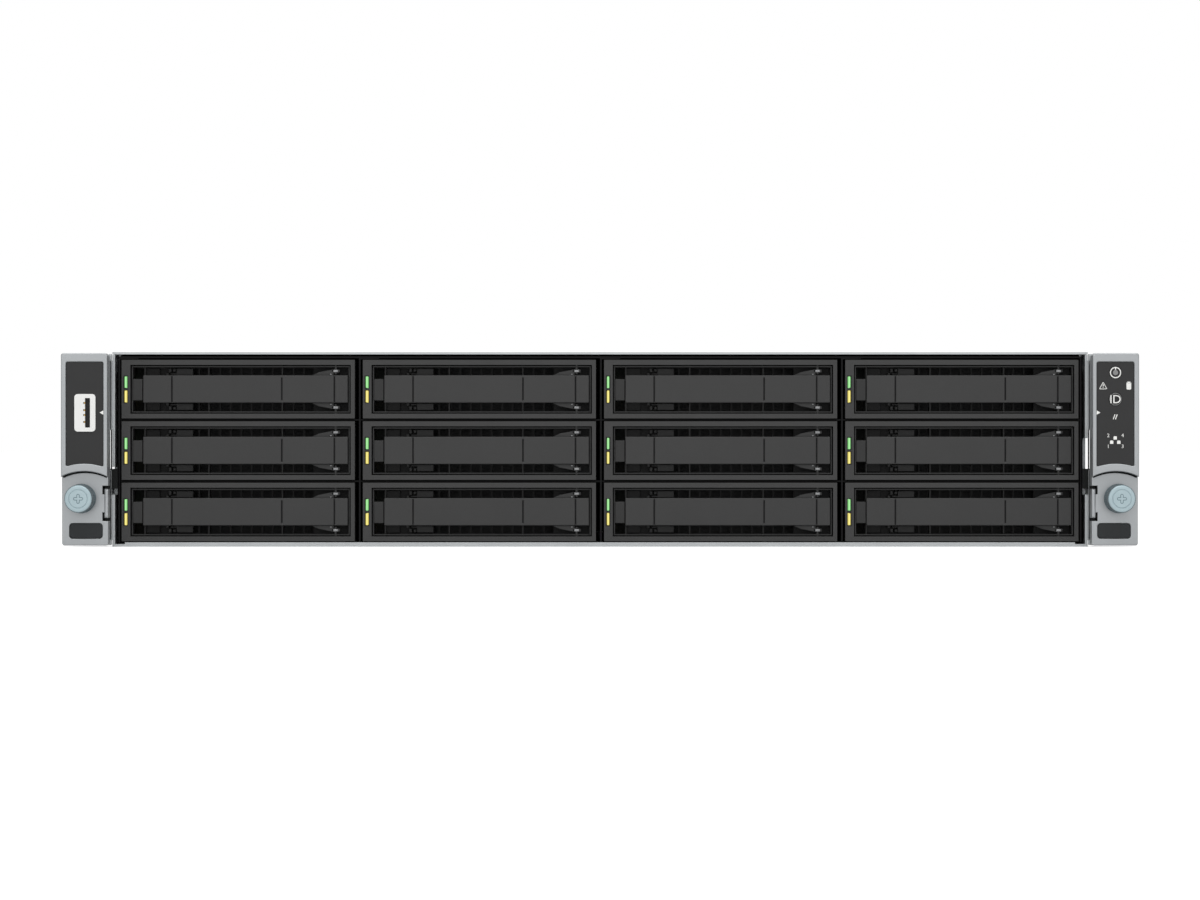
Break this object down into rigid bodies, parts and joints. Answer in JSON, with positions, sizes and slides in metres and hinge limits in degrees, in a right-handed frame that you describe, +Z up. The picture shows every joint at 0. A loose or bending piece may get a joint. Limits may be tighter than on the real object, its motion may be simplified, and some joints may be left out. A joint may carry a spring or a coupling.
{
  "type": "2u rack server",
  "caption": "Rack-mount server, two units high, with hot-swap drive carriers in columns behind cam levers, rack ears with captive thumbscrews, and plug-in supplies at the rear.",
  "frame": {"origin": "centre of the whole footprint, on the underside of the chassis", "axes": "+Z up, +Y from the front to the rear, +X to the right seen from the front"},
  "size_m": [0.4826, 0.745, 0.0878],
  "materials": {
    "carrier_plastic": "fine-grained dark grey moulded plastic",
    "lever_plastic": "fine-grained dark grey moulded plastic",
    "zinc_steel": "zinc-coated sheet steel",
    "black_steel": "black coated sheet steel",
    "latch_plastic": "moulded plastic",
    "ear_casting": "light grey satin paint",
    "panel_plastic": "dark grey printed panel",
    "port_plastic": "white moulded plastic",
    "screw_steel": "plated steel, turned",
    "board": "green circuit board",
    "fan_plastic": "black moulded plastic",
    "supply_case": "bare sheet metal"
  },
  "bodies": {
    "chassis": {"chassis_base": "zinc_steel", "drive_cage": "black_steel", "front_cover": "zinc_steel", "left_ear": "ear_casting", "right_ear": "ear_casting", "ear_panels": "panel_plastic", "usb_port": "port_plastic", "drive_backplane": "board", "fan_frames": "fan_plastic", "mainboard": "board", "network_ports": "zinc_steel", "riser_modules": "zinc_steel"},
    "carrier_01": {"drive_carrier_01": "carrier_plastic"},
    "lever_01": {"carrier_lever_01": "lever_plastic"},
    "latch_01": {"carrier_latch_01": "lever_plastic"},
    "carrier_02": {"drive_carrier_02": "carrier_plastic"},
    "lever_02": {"carrier_lever_02": "lever_plastic"},
    "latch_02": {"carrier_latch_02": "lever_plastic"},
    "carrier_03": {"drive_carrier_03": "carrier_plastic"},
    "lever_03": {"carrier_lever_03": "lever_plastic"},
    "latch_03": {"carrier_latch_03": "lever_plastic"},
    "carrier_04": {"drive_carrier_04": "carrier_plastic"},
    "lever_04": {"carrier_lever_04": "lever_plastic"},
    "latch_04": {"carrier_latch_04": "lever_plastic"},
    "carrier_05": {"drive_carrier_05": "carrier_plastic"},
    "lever_05": {"carrier_lever_05": "lever_plastic"},
    "latch_05": {"carrier_latch_05": "lever_plastic"},
    "carrier_06": {"drive_carrier_06": "carrier_plastic"},
    "lever_06": {"carrier_lever_06": "lever_plastic"},
    "latch_06": {"carrier_latch_06": "lever_plastic"},
    "carrier_07": {"drive_carrier_07": "carrier_plastic"},
    "lever_07": {"carrier_lever_07": "lever_plastic"},
    "latch_07": {"carrier_latch_07": "lever_plastic"},
    "carrier_08": {"drive_carrier_08": "carrier_plastic"},
    "lever_08": {"carrier_lever_08": "lever_plastic"},
    "latch_08": {"carrier_latch_08": "lever_plastic"},
    "carrier_09": {"drive_carrier_09": "carrier_plastic"},
    "lever_09": {"carrier_lever_09": "lever_plastic"},
    "latch_09": {"carrier_latch_09": "lever_plastic"},
    "carrier_10": {"drive_carrier_10": "carrier_plastic"},
    "lever_10": {"carrier_lever_10": "lever_plastic"},
    "latch_10": {"carrier_latch_10": "lever_plastic"},
    "carrier_11": {"drive_carrier_11": "carrier_plastic"},
    "lever_11": {"carrier_lever_11": "lever_plastic"},
    "latch_11": {"carrier_latch_11": "lever_plastic"},
    "carrier_12": {"drive_carrier_12": "carrier_plastic"},
    "lever_12": {"carrier_lever_12": "lever_plastic"},
    "latch_12": {"carrier_latch_12": "lever_plastic"},
    "rear_cover": {"rear_cover": "zinc_steel"},
    "cover_latch": {"cover_latch": "latch_plastic"},
    "power_button": {"power_button": "panel_plastic"},
    "id_button": {"id_button": "panel_plastic"},
    "left_thumbscrew": {"left_thumbscrew": "screw_steel"},
    "right_thumbscrew": {"right_thumbscrew": "screw_steel"},
    "power_supply_1": {"power_supply_1": "supply_case"},
    "power_supply_2": {"power_supply_2": "supply_case"},
    "fan_rotor_1": {"fan_rotor_1": "fan_plastic"},
    "fan_rotor_2": {"fan_rotor_2": "fan_plastic"},
    "fan_rotor_3": {"fan_rotor_3": "fan_plastic"},
    "fan_rotor_4": {"fan_rotor_4": "fan_plastic"}
  },
  "joints": [
    {"name": "carrier_slide_01", "type": "slide", "parent": "chassis", "child": "carrier_01", "axis": [0, -1, 0], "range_m": [0, 0.15]},
    {"name": "lever_swing_01", "type": "hinge", "parent": "carrier_01", "child": "lever_01", "pos_m": [-0.11935, -0.3504, 0.0711], "axis": [0, 0, 1], "range_deg": [0, 70]},
    {"name": "latch_press_01", "type": "slide", "parent": "carrier_01", "child": "latch_01", "axis": [0, 1, 0], "range_m": [0, 0.0025], "stiffness_N_per_m": 300, "springref_m": -0.002},
    {"name": "cover_slide", "type": "slide", "parent": "chassis", "child": "rear_cover", "axis": [0, 1, 0], "range_m": [0, 0.014]},
    {"name": "cover_latch_lift", "type": "hinge", "parent": "rear_cover", "child": "cover_latch", "pos_m": [0, -0.0875, 0.0854], "axis": [1, 0, 0], "range_deg": [0, 80]},
    {"name": "power_press", "type": "slide", "parent": "chassis", "child": "power_button", "axis": [0, 1, 0], "range_m": [0, 0.001], "stiffness_N_per_m": 400, "springref_m": -0.001},
    {"name": "id_press", "type": "slide", "parent": "chassis", "child": "id_button", "axis": [0, 1, 0], "range_m": [0, 0.001], "stiffness_N_per_m": 400, "springref_m": -0.001},
    {"name": "left_thumbscrew_turn", "type": "hinge", "parent": "chassis", "child": "left_thumbscrew", "pos_m": [-0.23255, -0.3535, 0.0219], "axis": [0, 1, 0], "continuous": true},
    {"name": "right_thumbscrew_turn", "type": "hinge", "parent": "chassis", "child": "right_thumbscrew", "pos_m": [0.23255, -0.3535, 0.0219], "axis": [0, 1, 0], "continuous": true},
    {"name": "power_supply_slide_1", "type": "slide", "parent": "chassis", "child": "power_supply_1", "axis": [0, 1, 0], "range_m": [0, 0.18]},
    {"name": "power_supply_slide_2", "type": "slide", "parent": "chassis", "child": "power_supply_2", "axis": [0, 1, 0], "range_m": [0, 0.18]},
    {"name": "fan_spin_1", "type": "hinge", "parent": "chassis", "child": "fan_rotor_1", "pos_m": [-0.156, -0.1335, 0.043], "axis": [0, 1, 0], "continuous": true},
    {"name": "fan_spin_2", "type": "hinge", "parent": "chassis", "child": "fan_rotor_2", "pos_m": [-0.052, -0.1335, 0.043], "axis": [0, 1, 0], "continuous": true},
    {"name": "fan_spin_3", "type": "hinge", "parent": "chassis", "child": "fan_rotor_3", "pos_m": [0.052, -0.1335, 0.043], "axis": [0, 1, 0], "continuous": true},
    {"name": "fan_spin_4", "type": "hinge", "parent": "chassis", "child": "fan_rotor_4", "pos_m": [0.156, -0.1335, 0.043], "axis": [0, 1, 0], "continuous": true},
    {"name": "carrier_slide_02", "type": "slide", "parent": "chassis", "child": "carrier_02", "axis": [0, -1, 0], "range_m": [0, 0.15]},
    {"name": "lever_swing_02", "type": "hinge", "parent": "carrier_02", "child": "lever_02", "pos_m": [-0.01055, -0.3504, 0.0711], "axis": [0, 0, 1], "range_deg": [0, 70]},
    {"name": "latch_press_02", "type": "slide", "parent": "carrier_02", "child": "latch_02", "axis": [0, 1, 0], "range_m": [0, 0.0025], "stiffness_N_per_m": 300, "springref_m": -0.002},
    {"name": "carrier_slide_03", "type": "slide", "parent": "chassis", "child": "carrier_03", "axis": [0, -1, 0], "range_m": [0, 0.15]},
    {"name": "lever_swing_03", "type": "hinge", "parent": "carrier_03", "child": "lever_03", "pos_m": [0.09825, -0.3504, 0.0711], "axis": [0, 0, 1], "range_deg": [0, 70]},
    {"name": "latch_press_03", "type": "slide", "parent": "carrier_03", "child": "latch_03", "axis": [0, 1, 0], "range_m": [0, 0.0025], "stiffness_N_per_m": 300, "springref_m": -0.002},
    {"name": "carrier_slide_04", "type": "slide", "parent": "chassis", "child": "carrier_04", "axis": [0, -1, 0], "range_m": [0, 0.15]},
    {"name": "lever_swing_04", "type": "hinge", "parent": "carrier_04", "child": "lever_04", "pos_m": [0.20705, -0.3504, 0.0711], "axis": [0, 0, 1], "range_deg": [0, 70]},
    {"name": "latch_press_04", "type": "slide", "parent": "carrier_04", "child": "latch_04", "axis": [0, 1, 0], "range_m": [0, 0.0025], "stiffness_N_per_m": 300, "springref_m": -0.002},
    {"name": "carrier_slide_05", "type": "slide", "parent": "chassis", "child": "carrier_05", "axis": [0, -1, 0], "range_m": [0, 0.15]},
    {"name": "lever_swing_05", "type": "hinge", "parent": "carrier_05", "child": "lever_05", "pos_m": [-0.11935, -0.3504, 0.0434], "axis": [0, 0, 1], "range_deg": [0, 70]},
    {"name": "latch_press_05", "type": "slide", "parent": "carrier_05", "child": "latch_05", "axis": [0, 1, 0], "range_m": [0, 0.0025], "stiffness_N_per_m": 300, "springref_m": -0.002},
    {"name": "carrier_slide_06", "type": "slide", "parent": "chassis", "child": "carrier_06", "axis": [0, -1, 0], "range_m": [0, 0.15]},
    {"name": "lever_swing_06", "type": "hinge", "parent": "carrier_06", "child": "lever_06", "pos_m": [-0.01055, -0.3504, 0.0434], "axis": [0, 0, 1], "range_deg": [0, 70]},
    {"name": "latch_press_06", "type": "slide", "parent": "carrier_06", "child": "latch_06", "axis": [0, 1, 0], "range_m": [0, 0.0025], "stiffness_N_per_m": 300, "springref_m": -0.002},
    {"name": "carrier_slide_07", "type": "slide", "parent": "chassis", "child": "carrier_07", "axis": [0, -1, 0], "range_m": [0, 0.15]},
    {"name": "lever_swing_07", "type": "hinge", "parent": "carrier_07", "child": "lever_07", "pos_m": [0.09825, -0.3504, 0.0434], "axis": [0, 0, 1], "range_deg": [0, 70]},
    {"name": "latch_press_07", "type": "slide", "parent": "carrier_07", "child": "latch_07", "axis": [0, 1, 0], "range_m": [0, 0.0025], "stiffness_N_per_m": 300, "springref_m": -0.002},
    {"name": "carrier_slide_08", "type": "slide", "parent": "chassis", "child": "carrier_08", "axis": [0, -1, 0], "range_m": [0, 0.15]},
    {"name": "lever_swing_08", "type": "hinge", "parent": "carrier_08", "child": "lever_08", "pos_m": [0.20705, -0.3504, 0.0434], "axis": [0, 0, 1], "range_deg": [0, 70]},
    {"name": "latch_press_08", "type": "slide", "parent": "carrier_08", "child": "latch_08", "axis": [0, 1, 0], "range_m": [0, 0.0025], "stiffness_N_per_m": 300, "springref_m": -0.002},
    {"name": "carrier_slide_09", "type": "slide", "parent": "chassis", "child": "carrier_09", "axis": [0, -1, 0], "range_m": [0, 0.15]},
    {"name": "lever_swing_09", "type": "hinge", "parent": "carrier_09", "child": "lever_09", "pos_m": [-0.11935, -0.3504, 0.0157], "axis": [0, 0, 1], "range_deg": [0, 70]},
    {"name": "latch_press_09", "type": "slide", "parent": "carrier_09", "child": "latch_09", "axis": [0, 1, 0], "range_m": [0, 0.0025], "stiffness_N_per_m": 300, "springref_m": -0.002},
    {"name": "carrier_slide_10", "type": "slide", "parent": "chassis", "child": "carrier_10", "axis": [0, -1, 0], "range_m": [0, 0.15]},
    {"name": "lever_swing_10", "type": "hinge", "parent": "carrier_10", "child": "lever_10", "pos_m": [-0.01055, -0.3504, 0.0157], "axis": [0, 0, 1], "range_deg": [0, 70]},
    {"name": "latch_press_10", "type": "slide", "parent": "carrier_10", "child": "latch_10", "axis": [0, 1, 0], "range_m": [0, 0.0025], "stiffness_N_per_m": 300, "springref_m": -0.002},
    {"name": "carrier_slide_11", "type": "slide", "parent": "chassis", "child": "carrier_11", "axis": [0, -1, 0], "range_m": [0, 0.15]},
    {"name": "lever_swing_11", "type": "hinge", "parent": "carrier_11", "child": "lever_11", "pos_m": [0.09825, -0.3504, 0.0157], "axis": [0, 0, 1], "range_deg": [0, 70]},
    {"name": "latch_press_11", "type": "slide", "parent": "carrier_11", "child": "latch_11", "axis": [0, 1, 0], "range_m": [0, 0.0025], "stiffness_N_per_m": 300, "springref_m": -0.002},
    {"name": "carrier_slide_12", "type": "slide", "parent": "chassis", "child": "carrier_12", "axis": [0, -1, 0], "range_m": [0, 0.15]},
    {"name": "lever_swing_12", "type": "hinge", "parent": "carrier_12", "child": "lever_12", "pos_m": [0.20705, -0.3504, 0.0157], "axis": [0, 0, 1], "range_deg": [0, 70]},
    {"name": "latch_press_12", "type": "slide", "parent": "carrier_12", "child": "latch_12", "axis": [0, 1, 0], "range_m": [0, 0.0025], "stiffness_N_per_m": 300, "springref_m": -0.002}
  ]
}
